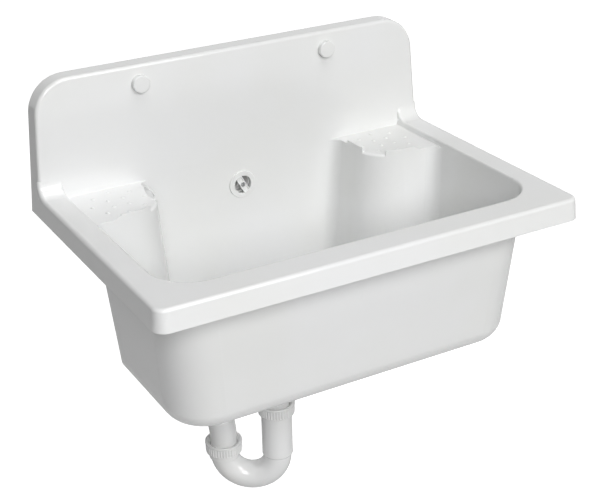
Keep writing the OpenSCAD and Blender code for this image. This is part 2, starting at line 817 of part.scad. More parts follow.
// The waste's body: flange, cup with the overflow's branch, cone and threaded spigot
module waste_body() {
  hub_z = dish_floor_z - 1.5;
  color("white") translate([0, -waste_y, 0]) {
    difference() {
      union() {
        translate([0, 0, waste_top_z - waste_flange_t])
          cylinder(r = cup_r + 5, h = waste_flange_t, $fn = round_fn);
        translate([0, 0, cup_foot_z]) cylinder(r = cup_r, h = cup_h, $fn = round_fn);
        translate([0, 0, spigot_top_z]) cylinder(r1 = thread_r, r2 = cup_r, h = cone_h, $fn = round_fn);
        translate([0, 0, spigot_end_z]) cylinder(r = thread_r, h = spigot_h, $fn = round_fn);
        translate([0, cup_r + branch_len, branch_z]) rotate([90, 0, 0])
          cylinder(r = spigot_r, h = branch_len + cup_wall, $fn = round_fn);
      }
      translate([0, 0, cup_foot_z]) cylinder(r = cup_r - cup_wall, h = cup_h + over, $fn = round_fn);
      translate([0, 0, spigot_top_z])
        cylinder(r1 = tube_bore_r, r2 = cup_r - cup_wall, h = cone_h + eps, $fn = round_fn);
      translate([0, 0, spigot_end_z - over])
        cylinder(r = tube_bore_r, h = spigot_h + over + eps, $fn = round_fn);
      translate([0, cup_r + branch_len + over, branch_z]) rotate([90, 0, 0])
        cylinder(r = spigot_bore_r, h = branch_len + cup_wall + 2 * over, $fn = round_fn);
    }
    difference() {
      union() {
        translate([0, 0, hub_z - hub_h]) cylinder(r = 6, h = hub_h, $fn = round_fn);
        for (i = [0:2]) rotate([0, 0, 120 * i + 30]) translate([0, -1.5, hub_z - hub_h])
          cube([cup_r - cup_wall / 2, 3, hub_h / 2]);
      }
      translate([0, 0, hub_z - hub_h - over])
        cylinder(r = waste_screw_r + fit_gap, h = hub_h + 2 * over, $fn = fine_fn);
    }
  }
}

/* Union nuts */

lip_z = 8;             // from a nut's mouth to its thread
mouth_h = 3;           // depth of the cone at a nut's mouth
ring_gap = 0.3;
slip_ring_t = 1.6;
slip_top = lip_z + ring_gap;
seal_top = slip_top + slip_ring_t + ring_gap;
seal_h = 4.4;
socket_top = seal_top + 0.4;
nut_bore_r = thread_r + clear_gap;
nut_lip_r = tube_r + clear_gap;
nut_body_r = nut_bore_r + 1.5;
nut_edge_r = 1.2;
nut_foot_h = 1.6;
nut_foot_r = nut_body_r + 0.9;

// A union nut: its mouth is at z = 0 and its thread runs down. Ring, ribbed body and smooth foot.
module union_nut(h) {
  e = nut_edge_r;
  count = round(full_turn / nut_rib_pitch);
  difference() {
    union() {
      translate([0, 0, -h]) cylinder(r = nut_body_r, h = h, $fn = round_fn);
      translate([0, 0, -h]) cylinder(r = nut_foot_r, h = nut_foot_h, $fn = round_fn);
      translate([0, 0, -nut_ring_h]) rotate_extrude($fn = round_fn) {
        square([nut_r - e, nut_ring_h]);
        square([nut_r, nut_ring_h - e]);
        translate([nut_r - e, nut_ring_h - e]) circle(r = e, $fn = fine_fn);
      }
      for (i = [0:count - 1]) rotate([0, 0, i * full_turn / count])
        translate([nut_body_r - 1, -nut_rib_w / 2, nut_foot_h - h])
          cube([nut_rib_r - nut_body_r + 1, nut_rib_w, h - nut_foot_h - nut_ring_h / 2]);
    }
    translate([0, 0, -h - over]) cylinder(r = nut_bore_r, h = h - lip_z + over, $fn = round_fn);
    translate([0, 0, -h - over]) cylinder(r = nut_lip_r, h = h + 2 * over, $fn = round_fn);
    translate([0, 0, -mouth_h]) cylinder(r1 = nut_lip_r, r2 = nut_bore_r, h = mouth_h + eps, $fn = round_fn);
  }
}

// The slip ring under a nut's lip
module slip_ring() {
  translate([0, 0, -slip_top - slip_ring_t]) tube(thread_r - 0.2, tube_r + fit_gap + 0.03, slip_ring_t);
}

// The tapered seal between a tube and its socket
module tube_seal() {
  translate([0, 0, -seal_top - seal_h]) difference() {
    cylinder(r1 = tube_r + 1, r2 = thread_r - 1, h = seal_h, $fn = round_fn);
    translate([0, 0, -over]) cylinder(r = tube_r + fit_gap, h = seal_h + 2 * over, $fn = round_fn);
  }
}

at_inlet = [0, -waste_y, inlet_rise - trap_z];
outlet_x = 2 * trap_bend_r * cos(trap_turn);
outlet_y = 2 * trap_bend_r * sin(trap_turn) - waste_y;
at_outlet = [outlet_x, outlet_y, outlet_rise - trap_z];
outlet_z = outlet_lift - trap_z;

washer_t = 2;
collar_t = 3;
collar_z = spigot_end_z - washer_t - collar_t;
// Mouth of the waste's nut, which opens downwards
at_waste = [0, -waste_y, collar_z - ring_gap - slip_ring_t - slip_top];

module waste_washer() {
  color("dimgray") translate([0, -waste_y, spigot_end_z - washer_t])
    tube(thread_r - 0.5, tube_bore_r + 1, washer_t);
}

module waste_ring() {
  color("white") translate(at_waste) mirror([0, 0, 1]) slip_ring();
}

module waste_nut() {
  color("white") translate(at_waste) mirror([0, 0, 1]) union_nut(waste_nut_h);
}

dip_depth = 42;

// The straight tube from the waste down into the trap, with a collar at its top
module dip_tube() {
  foot = at_inlet[2] - dip_depth;
  color("white") translate([0, -waste_y, 0]) {
    translate([0, 0, foot]) tube(tube_r, tube_bore_r, collar_z + collar_t - foot);
    translate([0, 0, collar_z]) tube(thread_r - 0.5, tube_bore_r, collar_t);
  }
}

module inlet_ring() {
  color("white") translate(at_inlet) slip_ring();
}

module inlet_nut() {
  color("white") translate(at_inlet) union_nut(nut_h);
}

module inlet_seal() {
  color("dimgray") translate(at_inlet) tube_seal();
}

module outlet_ring() {
  color("white") translate(at_outlet) slip_ring();
}

module outlet_nut() {
  color("white") translate(at_outlet) union_nut(nut_h);
}

module outlet_seal() {
  color("dimgray") translate(at_outlet) tube_seal();
}

/* Trap */

socket_bore_r = tube_r + 0.35;
seat_h = 6;
seat_r = thread_r - 0.7;
socket_foot = nut_h - 0.5;
leg_cone_h = 3;
leg_cone_step = 0.4;   // from the top of the cone under the inlet leg to the leg
bore_cone_h = 4;
pipe_seat = 16;        // how deep the outlet's tube stands in its socket
seat_gap = 0.8;        // under the outlet's tube
groove_w = 2;          // the groove round the outlet's tube, in front of the wall plane
groove_depth = 0.7;
spigot_lead = 3;       // length of the taper at the outlet's end
spigot_taper = 1;      // how much the radius falls over that length

// The bore and seat of a socket, from its mouth at z = 0 down
module socket_bore(h) {
  translate([0, 0, -seat_h]) cylinder(r1 = socket_bore_r, r2 = seat_r, h = seat_h + eps, $fn = round_fn);
  translate([0, 0, over / 2]) cylinder(r = seat_r, h = over, $fn = round_fn);
  translate([0, 0, -h]) cylinder(r = socket_bore_r, h = h, $fn = round_fn);
}

module trap_outside() {
  inlet_top = inlet_rise - socket_top;
  outlet_top = outlet_rise - socket_top;
  thread_h = socket_foot - socket_top;
  translate([0, 0, leg_foot_h]) cylinder(r = leg_r, h = inlet_top - leg_foot_h, $fn = round_fn);
  translate([0, 0, leg_foot_h - leg_cone_h])
    cylinder(r1 = bend_r - clear_gap, r2 = leg_r - leg_cone_step, h = leg_cone_h + eps, $fn = round_fn);
  translate([0, 0, inlet_top - thread_h]) cylinder(r = thread_r, h = thread_h, $fn = round_fn);
  translate([2 * trap_bend_r, 0, 0]) {
    translate([0, 0, -collar_drop]) cylinder(r = collar_r, h = outlet_top + collar_drop, $fn = round_fn);
    translate([0, 0, outlet_top - thread_h]) cylinder(r = thread_r, h = thread_h, $fn = round_fn);
  }
  translate([trap_bend_r, 0, 0]) rotate([-90, 0, 0]) tube_bend(trap_bend_r, bend_r, 0, 180);
}

module trap_inside() {
  inlet_top = inlet_rise - socket_top;
  outlet_top = outlet_rise - socket_top;
  translate([0, 0, inlet_top]) socket_bore(inlet_top - leg_foot_h - bore_cone_h);
  translate([0, 0, leg_foot_h])
    cylinder(r1 = tube_bore_r, r2 = socket_bore_r, h = bore_cone_h + eps, $fn = round_fn);
  cylinder(r = tube_bore_r, h = leg_foot_h, $fn = round_fn);
  translate([2 * trap_bend_r, 0, 0]) {
    translate([0, 0, outlet_top]) socket_bore(pipe_seat + seat_gap - socket_top);
    cylinder(r = tube_bore_r, h = outlet_top, $fn = round_fn);
  }
  translate([trap_bend_r, 0, 0]) rotate([-90, 0, 0]) tube_bend(trap_bend_r, tube_bore_r, 0, 180);
}

// The trap: inlet leg, half-round bend and outlet leg, in one piece
module trap() {
  color("white") translate([0, -waste_y, -trap_z]) rotate([0, 0, trap_turn]) difference() {
    trap_outside();
    trap_inside();
  }
}

// The outlet's straight end, from its tapered mouth at z = 0: a spigot, the groove and the tube
module outlet_end(front) {
  difference() {
    union() {
      cylinder(r1 = tube_r - spigot_taper, r2 = tube_r, h = spigot_lead, $fn = round_fn);
      translate([0, 0, spigot_lead]) cylinder(r = tube_r, h = outlet_reach - spigot_lead, $fn = round_fn);
      translate([0, 0, outlet_reach]) cylinder(r = tube_r - groove_depth, h = groove_w, $fn = round_fn);
      translate([0, 0, outlet_reach + groove_w]) cylinder(r = tube_r, h = front - groove_w, $fn = round_fn);
    }
    translate([0, 0, -over]) cylinder(r = tube_bore_r, h = outlet_reach + front + 2 * over, $fn = round_fn);
  }
}

// The outlet: up out of the trap, round a tight bend and straight back through the wall plane
module outlet_bend() {
  foot = at_outlet[2] - pipe_seat;
  bend_z = outlet_z - outlet_bend_r;
  back = outlet_y + outlet_bend_r;
  color("white") translate([outlet_x, 0, 0]) {
    translate([0, outlet_y, foot]) tube(tube_r, tube_bore_r, bend_z - foot);
    translate([0, back, bend_z]) rotate([0, -90, 0])
      rotate([0, 0, -90]) tube_bend(outlet_bend_r, tube_r, tube_bore_r, 90);
    translate([0, outlet_reach, outlet_z]) rotate([90, 0, 0]) outlet_end(-back);
  }
}

// The domed rosette that covers the outlet's hole in the wall
module wall_rosette() {
  t = 1.2;
  r = tube_r + fit_gap;
  rise = rosette_h;
  reach = rosette_r - tube_r;
  ball = (reach * reach + rise * rise) / (2 * rise);
  color("white") facing_front(outlet_x, 0, outlet_z) rotate_extrude($fn = round_fn) intersection() {
    difference() {
      translate([r, rise - ball]) circle(r = ball, $fn = 2 * round_fn);
      translate([r, rise - ball]) circle(r = ball - t, $fn = 2 * round_fn);
    }
    translate([r, 0]) square([2 * reach, rise]);
  }
}

/* Assembly */

basin();
cap(-1);  // cap_left
cap(1);  // cap_right
cap_seats();
wall_screws();
overflow_ring();
overflow_screw();
overflow_seal();
overflow_elbow();
overflow_pipe();
pipe_clips();
strainer();
strainer_screw();
strainer_seal();
waste_seal();
waste_body();
waste_washer();
waste_ring();
waste_nut();
dip_tube();
inlet_ring();
inlet_nut();
inlet_seal();
trap();
outlet_ring();
outlet_nut();
outlet_seal();
outlet_bend();
wall_rosette();
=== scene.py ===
"""A white mop service sink on its wall fixings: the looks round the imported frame, in metres."""

import json
import logging
import math
from dataclasses import dataclass, field
from enum import Enum
from typing import Optional, Sequence, Union

import bmesh
import bpy
from mathutils import Matrix, Vector

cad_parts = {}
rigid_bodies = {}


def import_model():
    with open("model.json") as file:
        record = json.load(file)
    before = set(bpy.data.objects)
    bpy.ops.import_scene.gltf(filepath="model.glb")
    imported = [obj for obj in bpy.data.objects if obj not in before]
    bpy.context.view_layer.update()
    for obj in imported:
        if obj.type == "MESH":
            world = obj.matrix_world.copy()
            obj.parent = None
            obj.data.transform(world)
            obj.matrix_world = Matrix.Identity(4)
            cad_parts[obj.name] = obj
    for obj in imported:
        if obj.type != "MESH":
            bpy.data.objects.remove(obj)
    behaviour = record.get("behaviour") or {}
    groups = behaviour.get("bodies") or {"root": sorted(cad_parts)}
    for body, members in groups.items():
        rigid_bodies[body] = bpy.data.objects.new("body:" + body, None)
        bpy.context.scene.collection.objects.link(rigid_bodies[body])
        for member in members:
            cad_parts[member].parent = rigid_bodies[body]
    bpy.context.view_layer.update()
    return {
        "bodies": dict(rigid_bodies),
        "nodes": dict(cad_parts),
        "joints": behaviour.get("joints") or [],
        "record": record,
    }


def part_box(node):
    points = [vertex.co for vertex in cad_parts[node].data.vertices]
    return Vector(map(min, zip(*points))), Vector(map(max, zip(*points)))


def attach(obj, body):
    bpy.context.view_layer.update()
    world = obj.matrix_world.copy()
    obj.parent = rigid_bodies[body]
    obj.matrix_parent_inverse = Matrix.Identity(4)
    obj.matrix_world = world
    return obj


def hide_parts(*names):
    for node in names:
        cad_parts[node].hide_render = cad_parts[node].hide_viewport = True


LOG = logging.getLogger("sink")
MM = 0.001
WHITE = (1.0, 1.0, 1.0)

# Directions: the wall is at the back.
RIGHT = Vector((1, 0, 0))
FRONT = Vector((0, -1, 0))
BACK = Vector((0, 1, 0))
DOWN = Vector((0, 0, -1))
UP = Vector((0, 0, 1))
QUARTER_TURN = math.pi / 2
HALF_TURN = math.pi

# How finely round pieces are made.
ROUND_STEPS = 96
BEND_STEPS = 48
CORNER_STEPS = 4
THREAD_STEPS = 8

# Distances under which corners are joined: of a CAD node, of its thinnest faces, of a new shell.
JOIN = 1e-6
THIN = 2e-6
SHELL_JOIN = 1e-7

# The share of a side that a corner's rounding may take, just under a half.
ROUND_SHARE = 0.49

FLAT_WEIGHT = 90
EDGE_SAMPLES = 6


class Surface(Enum):
    """How a piece was made: its edges look smooth up to this angle, in degrees."""

    MOULDED = 24.0
    TURNED = 28.0


class Axis(Enum):
    """The axis that a metal piece is turned about."""

    Y = (0.0, 1.0, 0.0)
    Z = (0.0, 0.0, 1.0)


# ---------------------------------------------------------------- shader expressions


Link = Union["Val", float, int, tuple]


class Val:
    """A node's socket that adds Math nodes when it stands in an expression."""

    def __init__(self, tree: "NodeTree", socket: bpy.types.NodeSocket) -> None:
        """Wraps a socket of a tree."""
        self.tree = tree
        self.socket = socket

    def _math(self, operation: str, *values: Link) -> "Val":
        """One Math node with its inputs in order."""
        return self.tree.node("ShaderNodeMath", {"operation": operation}, dict(enumerate(values)))

    def __add__(self, other: Link) -> "Val":
        """self + other."""
        return self._math("ADD", self, other)

    __radd__ = __add__

    def __sub__(self, other: Link) -> "Val":
        """self - other."""
        return self._math("SUBTRACT", self, other)

    def __rsub__(self, other: Link) -> "Val":
        """other - self."""
        return self._math("SUBTRACT", other, self)

    def __mul__(self, other: Link) -> "Val":
        """self * other."""
        return self._math("MULTIPLY", self, other)

    __rmul__ = __mul__

    def __truediv__(self, other: Link) -> "Val":
        """self / other."""
        return self._math("DIVIDE", self, other)

    def __pow__(self, other: Link) -> "Val":
        """self ** other."""
        return self._math("POWER", self, other)

    def at_least(self, other: Link) -> "Val":
        """The larger of self and other."""
        return self._math("MAXIMUM", self, other)

    def step(self, low: float, high: float) -> "Val":
        """A smooth rise from 0 at low to 1 at high."""
        settings = {"interpolation_type": "SMOOTHSTEP", "clamp": True}
        inputs = {"Value": self, "From Min": low, "From Max": high}
        return self.tree.node("ShaderNodeMapRange", settings, inputs)


class NodeTree:
    """A node tree that is written as calls and expressions."""

    def __init__(self, tree: bpy.types.NodeTree) -> None:
        """Wraps a tree and empties it."""
        self.nodes = tree.nodes
        self.links = tree.links
        self.nodes.clear()

    def node(self, kind: str, settings: Optional[dict] = None, inputs: Optional[dict] = None,
             out: Union[int, str] = 0) -> Val:
        """Any node.

        Args:
            kind: the node's type.
            settings: properties that are set first.
            inputs: values or links of its sockets, by name or number.
            out: the output that is wanted.

        Returns:
            That output.
        """
        made = self.nodes.new(kind)
        for key, value in (settings or {}).items():
            setattr(made, key, value)
        for key, value in (inputs or {}).items():
            self.set(made.inputs[key], value)
        return Val(self, made.outputs[out])

    def set(self, socket: bpy.types.NodeSocket, value: Link) -> None:
        """Links a value to a socket or sets the socket to it.

        Args:
            socket: an input socket.
            value: an output, a number, a vector, or a colour without its alpha.
        """
        if isinstance(value, Val):
            self.links.new(value.socket, socket)
        elif isinstance(value, tuple) and len(value) == 3 and socket.type == "RGBA":
            socket.default_value = (*value, 1.0)
        else:
            socket.default_value = value


@dataclass(frozen=True)
class Mottle:
    """A noise over a surface, and how it is cut to spots.

    Its size is that of the largest lumps in metres, layers and strength are how many finer
    layers lie over them and how strong these are, and it is cut between low and high.
    """

    size: float
    layers: float = 3.0
    strength: float = 0.5
    low: float = 0.0
    high: float = 1.0


class Shader(NodeTree):
    """A material's node tree and its one Principled shader."""

    def __init__(self, name: str) -> None:
        """Makes a material with an empty tree, a Principled shader and an output."""
        self.material = bpy.data.materials.new(name)
        self.material.use_nodes = True
        super().__init__(self.material.node_tree)
        self.skin = self.nodes.new("ShaderNodeBsdfPrincipled")
        out = self.nodes.new("ShaderNodeOutputMaterial")
        self.links.new(self.skin.outputs[0], out.inputs["Surface"])

    def finish(self, **sockets: Link) -> bpy.types.Material:
        """Sets the Principled shader's sockets.

        Args:
            sockets: values by socket name, with _ for a space.

        Returns:
            The material.
        """
        for name, value in sockets.items():
            self.set(self.skin.inputs[name.replace("_", " ")], value)
        return self.material

    def place(self) -> Val:
        """Object coordinates, in metres."""
        return self.node("ShaderNodeTexCoord", out="Object")

    def mapped(self, place: Val, **settings: tuple) -> Val:
        """A place that is turned or stretched, by the Mapping node's own input names."""
        return self.node("ShaderNodeMapping", None, {"Vector": place, **settings})

    def noise(self, place: Val, mottle: Mottle) -> Val:
        """A mottle's noise from 0 to 1, read at a place."""
        inputs = {"Vector": place, "Scale": 1.0 / mottle.size, "Detail": mottle.layers,
                  "Roughness": mottle.strength}
        return self.node("ShaderNodeTexNoise", {"noise_dimensions": "3D"}, inputs)

    def spots(self, place: Val, mottle: Mottle) -> Val:
        """A mottle's spots: 0 between them and 1 on them."""
        return self.noise(place, mottle).step(mottle.low, mottle.high)

    def mix(self, factor: Link, a: Link, b: Link) -> Val:
        """A colour between a and b."""
        settings = {"data_type": "RGBA", "clamp_factor": True}
        return self.node("ShaderNodeMix", settings, {0: factor, 6: a, 7: b}, out=2)

    def bump(self, height: Link, depth: float, edge: float, strength: float = 1.0) -> Val:
        """A bumped normal.

        Args:
            height: a height from 0 to 1.
            depth: what it stands for in metres.
            edge: the radius that the piece's edges look rounded to, in metres.
            strength: how much of the bump shows.

        Returns:
            The normal.
        """
        worn = self.node("ShaderNodeBevel", {"samples": EDGE_SAMPLES}, {"Radius": edge})
        inputs = {"Strength": strength, "Distance": depth, "Height": height, "Normal": worn}
        return self.node("ShaderNodeBump", None, inputs)


class Growth(NodeTree):
    """A Geometry Nodes tree with named inputs, which grows on a piece's own mesh."""

    KINDS = {float: "NodeSocketFloat", int: "NodeSocketInt"}

    def __init__(self, name: str) -> None:
        """Makes an empty tree with a geometry input and output."""
        self.group = bpy.data.node_groups.new(name, "GeometryNodeTree")
        super().__init__(self.group)
        for way in ("INPUT", "OUTPUT"):
            self.group.interface.new_socket("Geometry", in_out=way,
                                            socket_type="NodeSocketGeometry")
        self.entry = self.nodes.new("NodeGroupInput")
        self.ids: dict = {}

    def size(self, name: str, value: Union[float, int]) -> Val:
        """A named input.

        Args:
            name: the input's name.
            value: its first value, whose type is the input's.

        Returns:
            The input.
        """
        socket = self.group.interface.new_socket(name, in_out="INPUT",
                                                 socket_type=self.KINDS[type(value)])
        socket.default_value = value
        self.ids[name] = socket.identifier
        return Val(self, self.entry.outputs[name])

    def base(self) -> Val:
        """The piece's own mesh."""
        return Val(self, self.entry.outputs["Geometry"])

    def vector(self, x: Link, y: Link, z: Link) -> Val:
        """A vector from its three parts."""
        return self.node("ShaderNodeCombineXYZ", None, {0: x, 1: y, 2: z})

    def join(self, *parts: Val) -> Val:
        """Several geometries as one."""
        made = self.nodes.new("GeometryNodeJoinGeometry")
        for part in parts:
            self.links.new(part.socket, made.inputs[0])
        return Val(self, made.outputs[0])

    def close(self, geometry: Val, finish: bpy.types.Material) -> None:
        """Ends the tree: instances are made real and the material is set.

        Args:
            geometry: what the tree has grown.
            finish: its material.
        """
        real = self.node("GeometryNodeRealizeInstances", None, {"Geometry": geometry})
        dressed = self.node("GeometryNodeSetMaterial", None,
                            {"Geometry": real, "Material": finish})
        out = self.nodes.new("NodeGroupOutput")
        self.links.new(dressed.socket, out.inputs["Geometry"])

    def grow(self, piece: bpy.types.Object, sizes: dict) -> bpy.types.Object:
        """Runs the tree on a piece and keeps the result as its plain mesh.

        Args:
            piece: the piece.
            sizes: values by input name.

        Returns:
            The piece, with no modifier left.
        """
        modifier = piece.modifiers.new(self.group.name, "NODES")
        modifier.node_group = self.group
        for name, value in sizes.items():
            modifier[self.ids[name]] = value
        seen = piece.evaluated_get(bpy.context.evaluated_depsgraph_get())
        mesh = bpy.data.meshes.new_from_object(seen)
        piece.modifiers.remove(modifier)
        old = piece.data
        piece.data = mesh
        bpy.data.meshes.remove(old)
        return piece


# ---------------------------------------------------------------- finishes


@dataclass(frozen=True)
class MouldedWhite:
    """Glossy white moulded plastic: faint waves of the mould, thin scuffs and a duller bloom."""

    name: str
    white: tuple = (0.83, 0.835, 0.835)
    warm: tuple = (0.815, 0.82, 0.81)
    roughness: float = 0.12
    coat: float = 0.25
    coat_roughness: float = 0.05
    ior: float = 1.5
    cloud: Mottle = Mottle(0.16, 2.0, low=0.35, high=0.65)
    cloud_height: float = 0.7
    grain: Mottle = Mottle(0.0011, 2.0)
    grain_height: float = 0.015
    bloom: Mottle = Mottle(0.03, 5.0, 0.6, low=0.42, high=0.72)
    bloom_roughness: float = 0.035
    scuffs: Mottle = Mottle(0.012, 6.0, 0.7, low=0.66, high=0.74)
    scuff_roughness: float = 0.05
    scuff_turn: tuple = (0.3, 0.2, 0.5)
    scuff_stretch: tuple = (1, 9, 1)
    wave: float = 0.00002
    edge: float = 0.001

    def make(self) -> bpy.types.Material:
        """The material."""
        s = Shader(self.name)
        place = s.place()
        cloud = s.noise(place, self.cloud)
        bloom = s.spots(place, self.bloom)
        drawn = s.mapped(place, Rotation=self.scuff_turn, Scale=self.scuff_stretch)
        scuffs = s.spots(drawn, self.scuffs)
        grain = s.noise(place, self.grain)
        colour = s.mix(cloud.step(self.cloud.low, self.cloud.high), self.white, self.warm)
        rough = self.roughness + bloom * self.bloom_roughness + scuffs * self.scuff_roughness
        height = cloud * self.cloud_height + grain * self.grain_height
        return s.finish(Base_Color=colour, Roughness=rough,
                        Normal=s.bump(height, self.wave, self.edge), Coat_Weight=self.coat,
                        Coat_Roughness=self.coat_roughness, IOR=self.ior)


@dataclass(frozen=True)
class BrushedMetal:
    """Turned or drawn steel with fine lines round its axis."""

    name: str
    axis: Axis
    tint: tuple = (0.55, 0.56, 0.57)
    shade: float = 0.85
    roughness: float = 0.22
    lines: Mottle = Mottle(0.006, 5.0, 0.7, low=0.3, high=0.7)
    line_stretch: float = 40.0
    line_roughness: float = 0.1
    line_depth: float = 0.00003
    line_strength: float = 0.4
    smudge: Mottle = Mottle(0.02, low=0.4, high=0.75)
    smudge_roughness: float = 0.08
    edge: float = 0.0003

    def make(self) -> bpy.types.Material:
        """The material."""
        s = Shader(self.name)
        place = s.place()
        scale = tuple(self.line_stretch if a else 1.0 for a in self.axis.value)
        lines = s.noise(s.mapped(place, Scale=scale), self.lines)
        smudge = s.spots(place, self.smudge)
        shaded = tuple(self.shade * c for c in self.tint)
        colour = s.mix(lines.step(self.lines.low, self.lines.high), self.tint, shaded)
        rough = self.roughness + lines * self.line_roughness + smudge * self.smudge_roughness
        normal = s.bump(lines, self.line_depth, self.edge, self.line_strength)
        return s.finish(Base_Color=colour, Metallic=1.0, Roughness=rough, Normal=normal)


@dataclass(frozen=True)
class BlackRubber:
    """Matt black sealing rubber with a fine skin and some dust."""

    name: str
    black: tuple = (0.02, 0.02, 0.022)
    dusty: tuple = (0.06, 0.06, 0.062)
    roughness: float = 0.55
    skin: Mottle = Mottle(0.0008)
    skin_depth: float = 0.00004
    skin_strength: float = 0.6
    dust: Mottle = Mottle(0.006, 4.0, low=0.5, high=0.8)
    dust_roughness: float = 0.2
    edge: float = 0.0003

    def make(self) -> bpy.types.Material:
        """The material."""
        s = Shader(self.name)
        place = s.place()
        skin = s.noise(place, self.skin)
        dust = s.spots(place, self.dust)
        colour = s.mix(dust, self.black, self.dusty)
        normal = s.bump(skin, self.skin_depth, self.edge, self.skin_strength)
        return s.finish(Base_Color=colour, Roughness=self.roughness + dust * self.dust_roughness,
                        Normal=normal)


# ---------------------------------------------------------------- meshes


def piece_of(bm: bmesh.types.BMesh, name: str) -> bpy.types.Object:
    """Ends a mesh that was built in code and puts it in the scene.

    Args:
        bm: the mesh, which is freed.
        name: the new piece's name.

    Returns:
        The piece, at the origin.
    """
    mesh = bpy.data.meshes.new(name)
    bm.to_mesh(mesh)
    bm.free()
    piece = bpy.data.objects.new(name, mesh)
    bpy.context.scene.collection.objects.link(piece)
    return piece


def shade(piece: bpy.types.Object, surface: Surface) -> bpy.types.Object:
    """Shades a piece smoothly up to its sharp edges, with flat faces kept flat.

    Args:
        piece: the piece.
        surface: how sharp an edge has to be to stay sharp.

    Returns:
        The piece.
    """
    bm = bmesh.new()
    bm.from_mesh(piece.data)
    limit = math.radians(surface.value)
    for face in bm.faces:
        face.smooth = True
    for edge in bm.edges:
        edge.smooth = len(edge.link_faces) == 2 and edge.calc_face_angle(0.0) < limit
    bm.to_mesh(piece.data)
    bm.free()
    weighted = piece.modifiers.new("flats", "WEIGHTED_NORMAL")
    weighted.mode = "FACE_AREA_WITH_ANGLE"
    weighted.weight = FLAT_WEIGHT
    weighted.keep_sharp = True
    return piece


def joined_copy(node: bpy.types.Object, name: str) -> bpy.types.Object:
    """A CAD node's mesh with its corners joined.

    Args:
        node: the CAD node.
        name: the new piece's name.

    Returns:
        The new piece, at the origin.
    """
    bm = bmesh.new()
    bm.from_mesh(node.data)
    bmesh.ops.remove_doubles(bm, verts=bm.verts, dist=JOIN)
    bmesh.ops.dissolve_degenerate(bm, edges=bm.edges, dist=THIN)
    return piece_of(bm, name)


def add_to(piece: bpy.types.Object, extra: bpy.types.Object) -> bpy.types.Object:
    """Adds another piece's mesh to a piece.

    Args:
        piece: the piece that stays.
        extra: the piece that is added, which goes with its mesh.

    Returns:
        The piece.
    """
    bm = bmesh.new()
    bm.from_mesh(piece.data)
    bm.from_mesh(extra.data)
    bm.to_mesh(piece.data)
    bm.free()
    bpy.data.meshes.remove(extra.data)
    return piece


def put(piece: bpy.types.Object, place: Matrix) -> bpy.types.Object:
    """Moves a piece's mesh, so that its object stays at the origin.

    Args:
        piece: the piece.
        place: the move, whose mirroring turns the faces outwards again.

    Returns:
        The piece.
    """
    piece.data.transform(place)
    if place.determinant() < 0:
        piece.data.flip_normals()
    return piece


@dataclass(frozen=True)
class Corner:
    """A corner of a turned section: its radius, its height and how far it is rounded."""

    r: float
    z: float
    round: float = 0.0


def rounded(corners: Sequence[Corner], steps: int = CORNER_STEPS) -> list:
    """A closed section with its corners rounded.

    Args:
        corners: the section's corners in order.
        steps: the number of faces round a corner.

    Returns:
        The section's points, as vectors of radius and height.
    """
    points = []
    before_all, after_all = corners[-1:] + corners[:-1], corners[1:] + corners[:1]
    for before, here, after in zip(before_all, corners, after_all):
        corner = Vector((here.r, here.z))
        if here.round <= 0:
            points.append(corner)
            continue
        back = Vector((before.r, before.z)) - corner
        on = Vector((after.r, after.z)) - corner
        half = back.angle(on) / 2
        run = min(here.round / math.tan(half), ROUND_SHARE * back.length,
                  ROUND_SHARE * on.length)
        inward = (back.normalized() + on.normalized()).normalized()
        middle = corner + inward * run / math.cos(half)
        first = corner + back.normalized() * run - middle
        last = corner + on.normalized() * run - middle
        swing = first.angle_signed(last)
        for k in range(steps + 1):
            arm = first.copy()
            arm.rotate(Matrix.Rotation(-swing * k / steps, 2))
            points.append(middle + arm)
    return points


def ring(bm: bmesh.types.BMesh, centre: Vector, across: Vector, side: Vector,
         radii: Sequence[float]) -> list:
    """A ring of vertices round a centre.

    Args:
        bm: the mesh that gets them.
        centre: the ring's centre.
        across: the unit direction of the first vertex.
        side: the unit direction a quarter turn on.
        radii: the distance of each vertex.

    Returns:
        The vertices.
    """
    turn = math.tau / len(radii)
    return [bm.verts.new(centre + (across * math.cos(turn * i) + side * math.sin(turn * i)) * r)
            for i, r in enumerate(radii)]


def closed_shell(bm: bmesh.types.BMesh, rings: Sequence[list]) -> None:
    """Faces between each ring and the next, and from the last back to the first.

    Args:
        bm: the mesh that holds the rings.
        rings: rings of the same number of vertices, in order round the wall.
    """
    for low, high in zip(rings, rings[1:] + rings[:1]):
        for i in range(len(low)):
            k = (i + 1) % len(low)
            bm.faces.new((low[i], low[k], high[k], high[i]))
    bmesh.ops.remove_doubles(bm, verts=bm.verts, dist=SHELL_JOIN)
    bmesh.ops.recalc_face_normals(bm, faces=bm.faces)


def turned(name: str, corners: Sequence[Corner], steps: int = ROUND_STEPS) -> bpy.types.Object:
    """A piece turned about Z from a closed section.

    Args:
        name: the new piece's name.
        corners: the section's corners in order.
        steps: the number of faces round it.

    Returns:
        The new piece, at the origin.
    """
    bm = bmesh.new()
    closed_shell(bm, [ring(bm, UP * p.y, RIGHT, BACK, [p.x] * steps)
                      for p in rounded(list(corners))])
    return piece_of(bm, name)


@dataclass(frozen=True)
class Station:
    """A place along a bent tube: its centre, the direction across the bend, and its radius.

    Its thread is how far a screw's turns stand out there, and turn is how far round they are.
    """

    centre: Vector
    across: Vector
    radius: float
    thread: float = 0.0
    turn: float = 0.0

    def radii(self, steps: int) -> list:
        """The radius at each step round the tube."""
        waves = (math.cos(math.tau * (self.turn - i / steps)) for i in range(steps))
        return [self.radius + self.thread * (0.5 + 0.5 * wave) for wave in waves]


